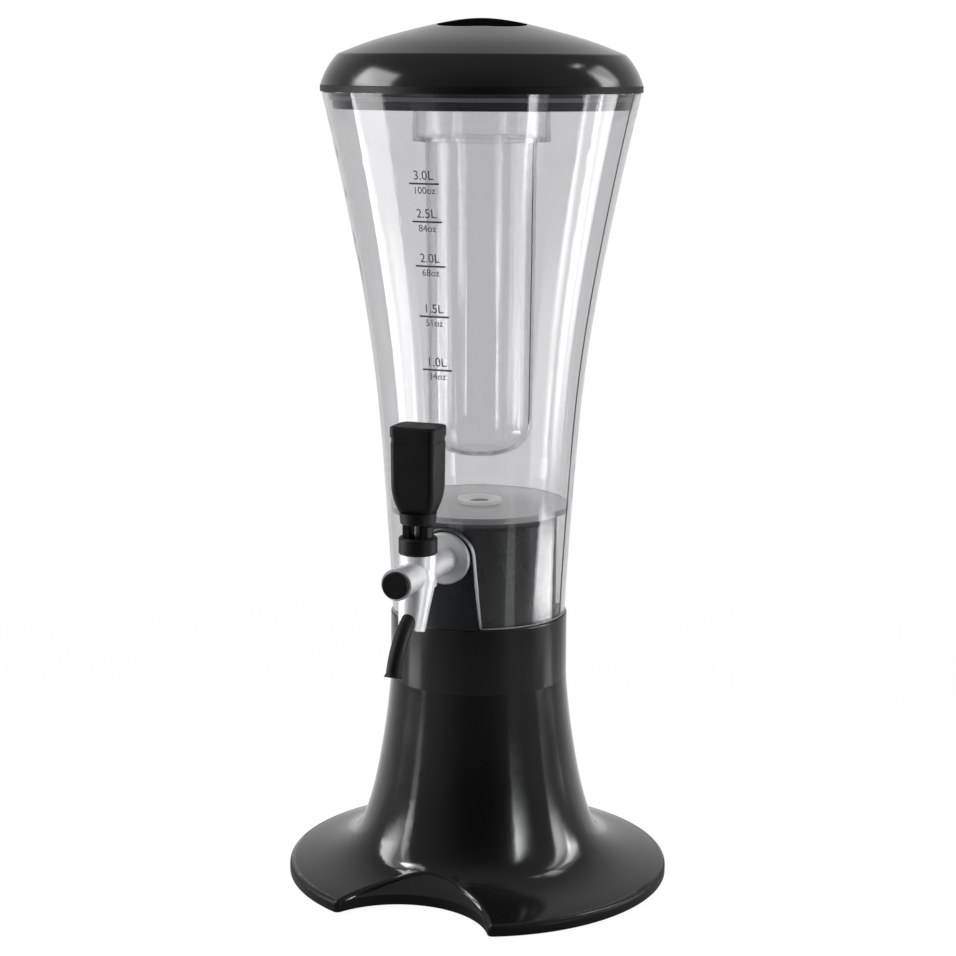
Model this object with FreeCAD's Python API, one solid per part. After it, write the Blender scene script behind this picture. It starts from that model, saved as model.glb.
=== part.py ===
import FreeCAD, Part
import math
import os
from FreeCAD import Vector

# A three-litre drink tower: a trumpet-shaped base carries a neck with a lever tap, and a clear
# flared container stands over that neck under a domed lid, from which an ice tube hangs.
# Millimetres, +Z up, origin under the base on the tower's axis, tap and notch towards -Y.
# "out" below is a distance from the axis towards the front, so a point at out is at y = -out.

os.makedirs("parts", exist_ok=True)

# ---- driving dimensions -------------------------------------------------------------------

TOTAL_HEIGHT = 585.0

# base
BASE_R = 131.8
BASE_RIM_Z = 4.8
BASE_EDGE_R = 3.8
BASE_WALL = 3.0
PAD_THICK = 2.0
PAD_STANDS_OUT = 0.5
COVER_THICK = 2.5
NOTCH_R = 60.0
NOTCH_OUT = 146.9
NOTCH_EDGE = 3.5
BASE_TOP_Z = 141.2
BASE_TOP_R = 60.7
TRUMPET = [(63.2, 115.0), (67.5, 86.0), (73.4, 57.0), (79.0, 38.5), (86.5, 24.5), (99.0, 16.6),
           (115.0, 11.8)]
BASE_SCREWS = 6
BASE_SCREW_RING = 100.0
SCREW_R = 1.5
SCREW_PLAY = 0.1
SCREW_HEAD_R = 3.0
SLOT_WIDE = 0.8
POST_R = 4.2
POST_HIGH = 12.0
OVER = 1.0

# stem sleeve, the straight top of the stem
SLEEVE_R = 60.5
SLEEVE_TOP_Z = 186.0
SLEEVE_WALL = 3.0
TONGUE_DEEP = 10.0
TONGUE_WALL = 2.3
SLEEVE_DECK = 4.0
SLEEVE_MOUTH_R = 38.0
SLEEVE_EDGE_R = 1.2

# neck housing inside the skirt
NECK_R = 53.0
NECK_WALL = 3.0
NECK_ROOF = 3.5
SEAT_THICK = 8.0
NECK_TOP_Z = 253.6
NECK_EDGE_R = 4.0
NECK_FLANGE_R = 55.4
NECK_FLANGE = 2.5
NECK_SCREWS = 4
NECK_SCREW_RING = 46.8
NECK_SCREW_TURN = 45.0
BOSS_FACE_R = 61.2
ARCH_LOW_HALF = 21.4
ARCH_TOP_HALF = 18.2
ARCH_CENTRE_Z = 235.4
ARCH_GAP = 0.4
ARCH_NEAR = 30.0
ARCH_FAR = 90.0

# drink elbow under the container's outlet
ELBOW_R = 13.0
ELBOW_LOW_Z = 222.0
ELBOW_ARM_R = 11.6
ELBOW_ARM_OUT = 44.5
ELBOW_FLANGE_R = 21.0
ELBOW_FLANGE = 3.0
ELBOW_SCREWS = 3
ELBOW_SCREW_RING = 17.2
ELBOW_SCREW_TURN = 90.0
SEAL_SEAT_R = 12.0
SEAL_SEAT_DEEP = 4.5
SPIGOT_PLAY = 0.6
DRINK_BORE_R = 4.6

# container
CONTAINER_WALL = 3.2
CONTAINER_LOW_Z = SLEEVE_TOP_Z + 0.05
CONTAINER_TOP_Z = 537.1
CONTAINER = [(59.2, CONTAINER_LOW_Z), (61.3, 227.7), (64.2, 271.9), (67.4, 316.1), (72.0, 360.3),
             (78.6, 404.5), (86.7, 448.7), (95.7, 492.9), (105.6, CONTAINER_TOP_Z)]
FLOOR_LOW_Z = 258.0
FLOOR_TOP_Z = 262.0
SPIGOT_R = 9.0
SPIGOT_BORE_R = 6.5
SPIGOT_LOW_Z = 240.0
SPIGOT_FLANGE_R = 16.0
SPIGOT_FLANGE = 2.2

# lid
LID_R = 106.6
LID_LOW_Z = 537.4
LID_BAND_Z = 541.0
LID_CREASE_R = 94.8
LID_CREASE_Z = 561.6
LID_WALL = 2.6
LID_CREASE_EDGE = 4.0
LID_FLANK = (102.6, 551.0)
DOME = [(76.3, 568.8), (50.5, 576.3), (34.3, 580.3), (17.0, 583.6)]
GRIP_WIDE = 58.0
GRIP_DEEP = 76.0
GRIP_CORNER = 24.0
GRIP_FLOOR_Z = 568.0
GRIP_BAR = 9.0
GRIP_TURN = 21.0
GRIP_CUT_HIGH = 40.0
GRIP_EDGE = 0.8
PLUG_R = 98.8
PLUG_LOW_Z = 526.8
PLUG_TOP_Z = 535.0
PLUG_SKIRT = 2.4
PLATE_R = 101.7
LIP_R = 98.0
LID_LIP = 2.4
GASKET_R = 101.0
GASKET_LOW_Z = 532.4

# ice tube
TUBE_TOP_R = 37.0
TUBE_LOW_R = 35.4
TUBE_WALL = 2.2
TUBE_LOW_Z = 296.0
TUBE_CORNER_R = 22.0
COLLAR_R = 45.5
COLLAR_WALL = 3.0
COLLAR_LIP = 0.7
COLLAR_STEP = 3.0
COLLAR_STEP_Z = 508.5
COLLAR_TOP_Z = 533.5
SOCKET_R = COLLAR_R - COLLAR_WALL - 0.3
SOCKET_WALL = 2.8
LUGS = 3
LUG_ANGLE = 20.0
LUG_DEEP = 0.8
LUG_PLAY = 0.4
LUG_LOW_Z = 529.9
LUG_TOP_Z = 532.3
TWIST = 40.0

# tap
BARREL_Z = 235.0
BARREL_R = 9.6
BARREL_END = 144.5
ESCUTCHEON_R = 17.5
ESCUTCHEON_EDGE = 1.5
NUT_ACROSS = 24.0
PAD_FACE = 62.5
LEVER_OUT = 109.0
PIVOT_Z = 250.0
FINGER_ARM = 12.0
FINGER_R = 2.0
FINGER_TIP_R = 3.0
ROD_TOP_Z = 302.0
BALL_R = 6.2
LEVER_ROD_R = 3.2
LEVER_SWING = 30.0
BONNET_R = 12.5
BONNET_LOW_Z = 248.0
BONNET_TOP_Z = 259.0
BONNET_ROOF = 4.5
BONNET_NECK_R = 10.0
BONNET_CHAMFER = 0.9
EAR_TOP_Z = 266.0
WASHER_R = 8.4
WASHER_LOW_Z = 252.2
BODY_BOSS_R = 12.0
SHANK_R = 7.0
TAIL_R = 9.0
SEAT_OUT = 89.5
CHAMBER_R = 6.6
SHANK_NEAR = 38.0
SHANK_FAR = 74.0
BARREL_BACK = PAD_FACE + 3.5
CAP_FRONT = 148.0
CAP_R = 8.6
CAP_PLUG_R = 7.6
CAP_PLUG_BACK = 139.0
GUIDE_R = 4.6
GUIDE_BACK = 132.0
PISTON_R = 5.6
PISTON_SEAL_R = 6.3
REAR_CHAMBER_R = 7.5
SEAT_BORE_R = 4.8
STEM_R = 2.6
SLOT_HALF = 3.6
EAR_HALF = 5.0
EAR_R = 9.8
EAR_GAP_HALF = 4.0
NOZZLE_R = 4.9
NOZZLE_LIP_R = 6.0
NOZZLE_BORE_R = 3.6
NOZZLE_ROOT = (112.5, 214.6)
NOZZLE_TIP = (149.8, 176.3)
NOZZLE_ROOT_LEAN = 58.0
NOZZLE_TIP_LEAN = 20.0
NOZZLE_BEND_R = 45.0
SHROUD_ROOT = (111.0, BARREL_Z - 2.0)
SHROUD_TIP = (119.5, 199.5)
SHROUD_ROOT_R = 12.6
SHROUD_TIP_R = 8.6
SHROUD_NOTCH_Z = 212.0
FERRULE_LOW_Z = 268.0
FERRULE_LOW_R = 11.4
FERRULE_TOP_R = 12.0
HANDLE_LOW_Z = 275.0
HANDLE_TOP_Z = 331.0
BAND_LOW_Z = 320.3
BAND_TOP_Z = 324.0
HANDLE_WIDE = 30.5
HANDLE_DEEP = 24.0
HANDLE_EDGE = 1.6

UP = Vector(0, 0, 1)
FRONT = Vector(0, -1, 0)
ORIGIN = Vector(0, 0, 0)


# ---- helpers ------------------------------------------------------------------------------

def at(out, z, x=0.0):
    """A point at a distance out in front of the axis."""
    return Vector(x, -out, z)


def upright(radius, low, high, x=0.0, out=0.0):
    """A vertical cylinder."""
    return Part.makeCylinder(radius, high - low, at(out, low, x), UP)


def level(radius, near, far, z=BARREL_Z, x=0.0):
    """A cylinder that lies level towards the front, from near to far."""
    return Part.makeCylinder(radius, far - near, at(near, z, x), FRONT)


def polygon(points):
    """A closed face of straight edges."""
    return Part.Face(Part.makePolygon(points + points[:1]))


def turned(points, centre=ORIGIN, axis=UP):
    """A straight-edged (radius, z) outline turned about the tower's axis."""
    return polygon([Vector(r, 0, z) for r, z in points]).revolve(centre, axis, 360)


def turned_edges(edges):
    """A closed outline of edges turned about the tower's axis."""
    return Part.Face(Part.Wire(Part.__sortEdges__(edges))).revolve(ORIGIN, UP, 360)


def line(a, b):
    """A straight edge between two (radius, z) points."""
    return Part.LineSegment(Vector(a[0], 0, a[1]), Vector(b[0], 0, b[1])).toShape()


def arc(a, b, c):
    """An arc through three (radius, z) points."""
    return Part.Arc(Vector(a[0], 0, a[1]), Vector(b[0], 0, b[1]), Vector(c[0], 0, c[1])).toShape()


def smooth(points):
    """A smooth curve through (radius, z) points."""
    curve = Part.BSplineCurve()
    curve.interpolate([Vector(r, 0, z) for r, z in points])
    return curve


def inward(curve, depth, count):
    """Points at a depth inside a curve that runs upwards."""
    first, last = curve.FirstParameter, curve.LastParameter
    found = []
    for step in range(count):
        place = first + (last - first) * step / (count - 1)
        point = curve.value(place)
        along = curve.tangent(place)[0]
        inside = Vector(-along.z, 0, along.x)
        inside = inside * (1.0 if inside.x < 0 else -1.0)
        found.append((point.x + inside.x * depth, point.z + inside.z * depth))
    return found


def ring(outer, inner, low, high, x=0.0, out=0.0):
    """An upright ring."""
    return upright(outer, low, high, x, out).cut(upright(inner, low - OVER, high + OVER, x, out))


def level_ring(outer, inner, near, far, z=BARREL_Z):
    """A ring whose axis lies level towards the front."""
    return level(outer, near, far, z).cut(level(inner, near - OVER, far + OVER, z))


def joined(shapes):
    """One solid of several that meet."""
    whole = shapes[0]
    for shape in shapes[1:]:
        whole = whole.fuse(shape)
    return whole.removeSplitter()


def around(shape, count, first=0.0):
    """Copies of a shape, evenly spaced about the tower's axis."""
    copies = []
    for index in range(count):
        copy = shape.copy()
        copy.rotate(ORIGIN, UP, first + 360.0 * index / count)
        copies.append(copy)
    return copies


def rounded_slab(wide, deep, corner, z, out):
    """A rounded rectangle, level, centred at out."""
    half_w, half_d = wide / 2 - corner, deep / 2 - corner
    edges = []
    corners = [(half_w, -half_d, 270), (half_w, half_d, 0), (-half_w, half_d, 90),
               (-half_w, -half_d, 180)]
    for cx, cy, turn in corners:
        circle = Part.Circle(Vector(cx, cy - out, z), UP, corner)
        edges.append(Part.Arc(circle, math.radians(turn), math.radians(turn + 90)).toShape())
    outline = []
    for index, edge in enumerate(edges):
        outline.append(edge)
        end = edge.valueAt(edge.LastParameter)
        start = edges[(index + 1) % 4].valueAt(edges[(index + 1) % 4].FirstParameter)
        outline.append(Part.LineSegment(end, start).toShape())
    return Part.Wire(outline)


def arch(half_low, half_top, low, centre_z, near, far):
    """A prism of an arch-topped outline, from near to far out in front."""
    points = [at(near, low, -half_low), at(near, centre_z, -half_top),
              at(near, centre_z, half_top), at(near, low, half_low)]
    crown = Part.Arc(points[1], at(near, centre_z + half_top), points[2]).toShape()
    sides = [Part.LineSegment(points[0], points[1]).toShape(), crown,
             Part.LineSegment(points[2], points[3]).toShape(),
             Part.LineSegment(points[3], points[0]).toShape()]
    return Part.Face(Part.Wire(sides)).extrude(FRONT * (far - near))


def screw(z_head, z_tip, head_r, head_high):
    """An upright screw on the axis, with its head at z_head, its tip higher and a cross in its head."""
    head = upright(head_r, z_head, z_head + head_high)
    body = upright(SCREW_R, z_head, z_tip)
    long, half = 1.2 * head_r, SLOT_WIDE / 2
    across = Part.makeBox(long, SLOT_WIDE, SLOT_WIDE, Vector(-long / 2, -half, z_head))
    along = across.copy()
    along.rotate(ORIGIN, UP, 90)
    return head.fuse(body).cut(across).cut(along).removeSplitter()


NODES = {}


def keep(name, shape):
    """Store a finished piece under its name."""
    NODES[name] = shape


# ---- base ---------------------------------------------------------------------------------

def notch(radius):
    """The round bite out of the front of the base, which clears a glass."""
    return upright(radius, -OVER, BASE_TOP_Z / 2, out=NOTCH_OUT)


def make_base():
    """The trumpet-shaped base shell, its cover, its pad and its screws."""
    rim_top = (BASE_R - BASE_EDGE_R, BASE_RIM_Z + BASE_EDGE_R)
    rim_side = (BASE_R, BASE_RIM_Z)
    bend = math.sqrt(0.5) * BASE_EDGE_R
    rim_mid = (rim_top[0] + bend, BASE_RIM_Z + bend)
    flow = smooth([(BASE_TOP_R, BASE_TOP_Z)] + TRUMPET + [rim_top])
    outer = turned_edges([line((0, BASE_TOP_Z), (BASE_TOP_R, BASE_TOP_Z)), flow.toShape(),
                          arc(rim_top, rim_mid, rim_side), line(rim_side, (BASE_R, PAD_STANDS_OUT)),
                          line((BASE_R, PAD_STANDS_OUT), (0, PAD_STANDS_OUT)),
                          line((0, PAD_STANDS_OUT), (0, BASE_TOP_Z))])
    outer = outer.cut(notch(NOTCH_R))
    soften = [edge for edge in outer.Edges if on_notch_top(edge)]
    outer = outer.makeFillet(NOTCH_EDGE, soften)

    cover_low, cover_top = PAD_THICK, PAD_THICK + COVER_THICK
    under = [(BASE_TOP_R - BASE_WALL, BASE_TOP_Z + OVER)] + inward(flow, BASE_WALL, 9)[1:]
    low_inner = BASE_R - BASE_WALL
    hollow = smooth(under)
    inner = turned_edges([line((0, BASE_TOP_Z + OVER), under[0]), hollow.toShape(),
                          line(under[-1], (low_inner, cover_top)),
                          line((low_inner, cover_top), (low_inner, 0)),
                          line((low_inner, 0), (0, 0)), line((0, 0), (0, BASE_TOP_Z + OVER))])
    inner = inner.cut(notch(NOTCH_R + BASE_WALL))
    shell = outer.cut(inner)

    screw_deep, pilot_deep = 7.0, 7.5
    posts = around(upright(POST_R, cover_top, cover_top + POST_HIGH, x=BASE_SCREW_RING), BASE_SCREWS)
    ledge = outer.common(joined_compound(posts))
    pilots = around(upright(SCREW_R, 0, cover_top + pilot_deep, x=BASE_SCREW_RING), BASE_SCREWS)
    shell = shell.fuse(ledge).removeSplitter().cut(joined_compound(pilots))
    keep("base_shell", shell)

    play = 0.3
    head_r, head_high = SCREW_HEAD_R + 0.1, 1.6
    cover = upright(low_inner - play, cover_low, cover_top).cut(notch(NOTCH_R + BASE_WALL + play))
    sinks = around(upright(head_r + SCREW_PLAY, 0, cover_low + head_high + SCREW_PLAY,
                           x=BASE_SCREW_RING), BASE_SCREWS)
    holes = around(upright(SCREW_R + SCREW_PLAY, 0, cover_top + OVER, x=BASE_SCREW_RING), BASE_SCREWS)
    keep("bottom_cover", cover.cut(joined_compound(sinks)).cut(joined_compound(holes)))

    pad_gap = 1.5
    pad = upright(low_inner - pad_gap, 0, PAD_THICK).cut(notch(NOTCH_R + BASE_WALL + pad_gap))
    keep("anti_slip_pad", pad)

    one = screw(cover_low + SCREW_PLAY, cover_top + screw_deep, head_r, head_high)
    one.translate(Vector(BASE_SCREW_RING, 0, 0))
    keep("bottom_screws", joined_compound(around(one, BASE_SCREWS)))


def on_notch_top(edge):
    """Whether an edge of the base is the notch's upper edge."""
    box = edge.BoundBox
    if box.ZMin < PAD_STANDS_OUT + 0.2 or box.ZMax > BASE_TOP_Z / 2:
        return False
    for part in (0.1, 0.5, 0.9):
        first, last = edge.FirstParameter, edge.LastParameter
        point = edge.valueAt(first + (last - first) * part)
        reach = math.hypot(point.x, point.y + NOTCH_OUT)
        if abs(reach - NOTCH_R) > 0.01:
            return False
    return box.ZMax - box.ZMin > 0.0


def joined_compound(shapes):
    """Several separate solids kept together."""
    return Part.makeCompound(shapes)


def make_sleeve():
    """The straight top of the stem, whose tongue sits in the base and whose rim carries the skirt."""
    tongue_r = SLEEVE_R - SLEEVE_WALL - 0.1
    tongue_in = tongue_r - TONGUE_WALL
    outside = [(SLEEVE_R - SLEEVE_WALL, BASE_TOP_Z), (BASE_TOP_R - 0.1, BASE_TOP_Z),
               (SLEEVE_R, SLEEVE_TOP_Z),
               (SLEEVE_MOUTH_R, SLEEVE_TOP_Z), (SLEEVE_MOUTH_R, SLEEVE_TOP_Z - SLEEVE_DECK),
               (tongue_in, SLEEVE_TOP_Z - SLEEVE_DECK), (tongue_in, BASE_TOP_Z - TONGUE_DEEP),
               (tongue_r, BASE_TOP_Z - TONGUE_DEEP)]
    sleeve = turned(outside)
    top_rim = [edge for edge in sleeve.Edges if edge.BoundBox.ZMin > SLEEVE_TOP_Z - 0.01
               and edge.BoundBox.XLength > 2 * SLEEVE_R - 1]
    sleeve = sleeve.makeFillet(SLEEVE_EDGE_R, top_rim)
    hole = upright(SCREW_R + SCREW_PLAY, SLEEVE_TOP_Z - 2 * SLEEVE_DECK, SLEEVE_TOP_Z + OVER,
                   x=NECK_SCREW_RING)
    holes = joined_compound(around(hole, NECK_SCREWS, NECK_SCREW_TURN))
    keep("stem_sleeve", sleeve.cut(holes))


# ---- neck ---------------------------------------------------------------------------------

def make_neck():
    """The neck housing with its arched boss, and the screws that hold it to the sleeve."""
    low = SLEEVE_TOP_Z
    half_low, half_top = ARCH_LOW_HALF - ARCH_GAP, ARCH_TOP_HALF - ARCH_GAP
    boss = arch(half_low, half_top, low, ARCH_CENTRE_Z, ARCH_NEAR, ARCH_FAR)
    boss = boss.common(upright(BOSS_FACE_R, low, NECK_TOP_Z))
    drum = upright(NECK_R, low, NECK_TOP_Z)
    top_rim = [edge for edge in drum.Edges if edge.BoundBox.ZMin > NECK_TOP_Z - 0.01]
    drum = drum.makeFillet(NECK_EDGE_R, top_rim)
    body = joined([drum, boss, upright(NECK_FLANGE_R, low, low + NECK_FLANGE)])
    wall, under_roof = NECK_WALL, NECK_TOP_Z - NECK_ROOF
    room = arch(half_low - wall, half_top - wall, low - OVER, ARCH_CENTRE_Z, 0, ARCH_FAR)
    room = room.common(upright(BOSS_FACE_R - wall, low - OVER, under_roof))
    body = body.cut(upright(NECK_R - wall, low - OVER, under_roof)).cut(room)
    seat = level(ESCUTCHEON_R - 0.5, PAD_FACE - SEAT_THICK, PAD_FACE)
    body = body.fuse(seat).removeSplitter()
    posts = around(upright(POST_R, low, low + POST_HIGH, x=NECK_SCREW_RING), NECK_SCREWS, NECK_SCREW_TURN)
    body = body.fuse(joined_compound(posts)).removeSplitter()
    screw_deep, pilot_deep, roof_skin = 9.0, 10.0, 0.7
    pilot = upright(SCREW_R, low - OVER, low + pilot_deep, x=NECK_SCREW_RING)
    body = body.cut(joined_compound(around(pilot, NECK_SCREWS, NECK_SCREW_TURN)))
    body = body.cut(upright(SPIGOT_R + SPIGOT_PLAY, under_roof - OVER, NECK_TOP_Z + OVER))
    body = body.cut(level(SHANK_R + 0.1, SHANK_NEAR, SHANK_FAR))
    pilot = upright(SCREW_R, under_roof - OVER, NECK_TOP_Z - roof_skin, x=ELBOW_SCREW_RING)
    keep("neck_housing", body.cut(joined_compound(around(pilot, ELBOW_SCREWS, ELBOW_SCREW_TURN))))

    head_high = 2.0
    one = screw(low - SLEEVE_DECK - head_high, low + screw_deep, SCREW_HEAD_R, head_high)
    one.translate(Vector(NECK_SCREW_RING, 0, 0))
    keep("neck_screws", joined_compound(around(one, NECK_SCREWS, NECK_SCREW_TURN)))


def make_drink_path():
    """The elbow from the container's spigot to the tap, its seals and its screws."""
    flange_top = NECK_TOP_Z - NECK_ROOF
    flange_low = flange_top - ELBOW_FLANGE
    seat_low = flange_top - SEAL_SEAT_DEEP
    body = joined([upright(ELBOW_R, ELBOW_LOW_Z, flange_top), upright(ELBOW_FLANGE_R, flange_low, flange_top),
                   level(ELBOW_ARM_R, 0, ELBOW_ARM_OUT)])
    sump_z, past = BARREL_Z - 7.0, ELBOW_ARM_OUT + OVER
    body = body.cut(upright(SPIGOT_R + SPIGOT_PLAY, sump_z, flange_top + OVER))
    body = body.cut(upright(SEAL_SEAT_R, seat_low, flange_top + OVER))
    body = body.cut(level(DRINK_BORE_R, 0, past)).cut(level(SHANK_R + 0.05, SHANK_NEAR - OVER, past))
    hole = upright(SCREW_R + SCREW_PLAY, flange_low - OVER, flange_top + OVER, x=ELBOW_SCREW_RING)
    keep("drink_elbow", body.cut(joined_compound(around(hole, ELBOW_SCREWS, ELBOW_SCREW_TURN))))

    keep("spigot_seal", ring(SEAL_SEAT_R - 0.05, SPIGOT_R + 0.05, seat_low + 0.1, flange_top - 0.1))

    head_high = 2.0
    one = screw(flange_low - head_high, NECK_TOP_Z - 0.8, SCREW_HEAD_R - 0.2, head_high)
    one.translate(Vector(ELBOW_SCREW_RING, 0, 0))
    keep("elbow_screws", joined_compound(around(one, ELBOW_SCREWS, ELBOW_SCREW_TURN)))


# ---- tap ----------------------------------------------------------------------------------

def hex_prism(across, near, far):
    """A hexagonal prism that lies level towards the front."""
    reach = across / math.sqrt(3)
    points = []
    for index in range(6):
        turn = math.radians(60 * index)
        points.append(Vector(reach * math.cos(turn), -near, BARREL_Z + reach * math.sin(turn)))
    return polygon(points).extrude(FRONT * (far - near))


def make_tap_fixing():
    """The shank through the boss, with its washer, nut, ring seal and cover plate."""
    washer_near, washer_far = PAD_FACE - SEAT_THICK - 2.5, PAD_FACE - SEAT_THICK
    washer_r, nut_high, cord_r, seal_out = 13.4, 5.5, 0.9, 41.0
    shank = level_ring(SHANK_R, DRINK_BORE_R, SHANK_NEAR, SHANK_FAR)
    groove = level_ring(SHANK_R + 1, SHANK_R - 2 * cord_r, seal_out - 1.0, seal_out + 1.0)
    keep("tap_shank", shank.cut(groove))
    keep("shank_seal", Part.makeTorus(SHANK_R - cord_r, cord_r, at(seal_out, BARREL_Z), FRONT))
    keep("shank_washer", level_ring(washer_r, SHANK_R + 0.02, washer_near, washer_far))
    nut = hex_prism(NUT_ACROSS, washer_near - nut_high, washer_near)
    nut = nut.common(level(washer_r, washer_near - nut_high, washer_near))
    keep("shank_nut", nut.cut(level(SHANK_R, SHANK_NEAR, PAD_FACE)))
    plate = level(ESCUTCHEON_R, PAD_FACE, BARREL_BACK)
    rim = [edge for edge in plate.Edges if abs(edge.BoundBox.YMin + BARREL_BACK) < 0.01
           and edge.BoundBox.XLength > ESCUTCHEON_R]
    plate = plate.makeFillet(ESCUTCHEON_EDGE, rim)
    keep("tap_cover_plate", plate.cut(level(SHANK_R, PAD_FACE - OVER, BARREL_BACK + OVER)))


def between(start, end):
    """The start of a slanting axis, its direction and its length."""
    root = at(*start)
    reach = at(*end) - root
    return root, Vector(reach).normalize(), reach.Length


def make_tap_body():
    """The plated tap body: a level barrel, an upright boss and a shroud over the nozzle's root."""
    root, slant, reach = between(SHROUD_ROOT, SHROUD_TIP)
    shroud = Part.makeCone(SHROUD_ROOT_R, SHROUD_TIP_R, reach, root, slant)
    shroud = shroud.fuse(Part.makeSphere(SHROUD_ROOT_R, root))
    barrel = level(BARREL_R, SEAT_OUT, BARREL_END)
    tail = level(TAIL_R, BARREL_BACK, SEAT_OUT + 1)
    boss = upright(BODY_BOSS_R, BARREL_Z - 8.0, BONNET_LOW_Z, out=LEVER_OUT)
    lip = level(BARREL_R + 0.6, BARREL_END - 4, BARREL_END)
    neck = upright(BONNET_NECK_R, BONNET_LOW_Z - OVER, BONNET_TOP_Z - BONNET_ROOF - 0.1, out=LEVER_OUT)
    body = joined([barrel, boss, shroud, tail, lip, neck])
    cuts = [level(SHANK_R, BARREL_BACK - 1, SHANK_FAR), level(REAR_CHAMBER_R, SHANK_FAR, SEAT_OUT),
            level(SEAT_BORE_R, SHANK_FAR, SEAT_OUT + 5),
            level(CHAMBER_R, SEAT_OUT + 2.5, GUIDE_BACK + 6.5),
            level(CAP_PLUG_R, CAP_PLUG_BACK - 1, BARREL_END + 1),
            upright(BALL_R + 0.08, PIVOT_Z - 9, BONNET_TOP_Z + 1, out=LEVER_OUT),
            upright(WASHER_R + 0.1, WASHER_LOW_Z - 0.2, BONNET_TOP_Z + 1, out=LEVER_OUT),
            Part.makeBox(2 * SLOT_HALF, 9.0, 10.0, at(LEVER_OUT, BARREL_Z + 1, -SLOT_HALF))]
    for cut in cuts:
        body = body.cut(cut)
    feed, down, feed_long = between((LEVER_OUT - 1.0, BARREL_Z - 5.0), NOZZLE_ROOT)
    body = body.cut(Part.makeCylinder(NOZZLE_BORE_R, feed_long + 1, feed, down))
    body = body.cut(piped(NOZZLE_R + 0.02, 0.0, 0.0))
    keep("tap_body", body.cut(shroud_slot()))


def shroud_slot():
    """The notch up the front of the shroud, between its two cheeks, which shows the nozzle."""
    half, near = NOZZLE_R + 0.05, SHROUD_TIP[0] - 3.0
    crown_z = SHROUD_NOTCH_Z - half
    deep, high = 20.0, 25.0
    crown = level(half, near, near + deep, z=crown_z)
    return crown.fuse(Part.makeBox(2 * half, deep, high, at(near + deep, crown_z - high, -half)))


def leaning(degrees):
    """A direction that leans forward from straight down."""
    turn = math.radians(degrees)
    return Vector(0, -math.sin(turn), -math.cos(turn))


def nozzle_axis(before, after):
    """The nozzle's bent axis, drawn out by a length before its root and after its tip."""
    root, tip = at(*NOZZLE_ROOT), at(*NOZZLE_TIP)
    first, last = leaning(NOZZLE_ROOT_LEAN), leaning(NOZZLE_TIP_LEAN)
    gap = tip - root
    cross = first.y * last.z - first.z * last.y
    corner = root + first * ((gap.y * last.z - gap.z * last.y) / cross)
    half = math.radians((NOZZLE_ROOT_LEAN - NOZZLE_TIP_LEAN) / 2)
    start = corner - first * (NOZZLE_BEND_R * math.tan(half))
    end = corner + last * (NOZZLE_BEND_R * math.tan(half))
    middle = corner + (last - first).normalize() * (NOZZLE_BEND_R / math.cos(half) - NOZZLE_BEND_R)
    return Part.Wire([Part.LineSegment(root - first * before, start).toShape(),
                      Part.Arc(start, middle, end).toShape(),
                      Part.LineSegment(end, tip + last * after).toShape()])


def piped(radius, before, after):
    """A round bar along the nozzle's axis."""
    centre = at(*NOZZLE_ROOT) - leaning(NOZZLE_ROOT_LEAN) * before
    circle = Part.Circle(centre, leaning(NOZZLE_ROOT_LEAN), radius).toShape()
    return nozzle_axis(before, after).makePipe(Part.Face(Part.Wire(circle)))


def make_nozzle():
    """The bent spout with its flared lip."""
    lip_long = 2.4
    last = leaning(NOZZLE_TIP_LEAN)
    lip = Part.makeCone(NOZZLE_R, NOZZLE_LIP_R, lip_long, at(*NOZZLE_TIP) - last * lip_long, last)
    spout = piped(NOZZLE_R, 0.0, -1.0).fuse(lip)
    keep("nozzle", spout.cut(piped(NOZZLE_BORE_R, 1.0, 1.0)))


def make_tap_front():
    """The black end cap, whose inner guide carries the piston's front end."""
    cap = joined([level(CAP_R, BARREL_END, CAP_FRONT), level(CAP_PLUG_R - 0.05, CAP_PLUG_BACK, BARREL_END),
                  level(GUIDE_R, GUIDE_BACK, CAP_PLUG_BACK)])
    face = [edge for edge in cap.Edges if abs(edge.BoundBox.YMin + CAP_FRONT) < 0.01
            and abs(edge.BoundBox.YMax + CAP_FRONT) < 0.01]
    cap = cap.makeFillet(1.0, face)
    keep("front_cap", cap.cut(level(STEM_R + 0.05, GUIDE_BACK - 1, CAP_FRONT - 4)))


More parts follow.
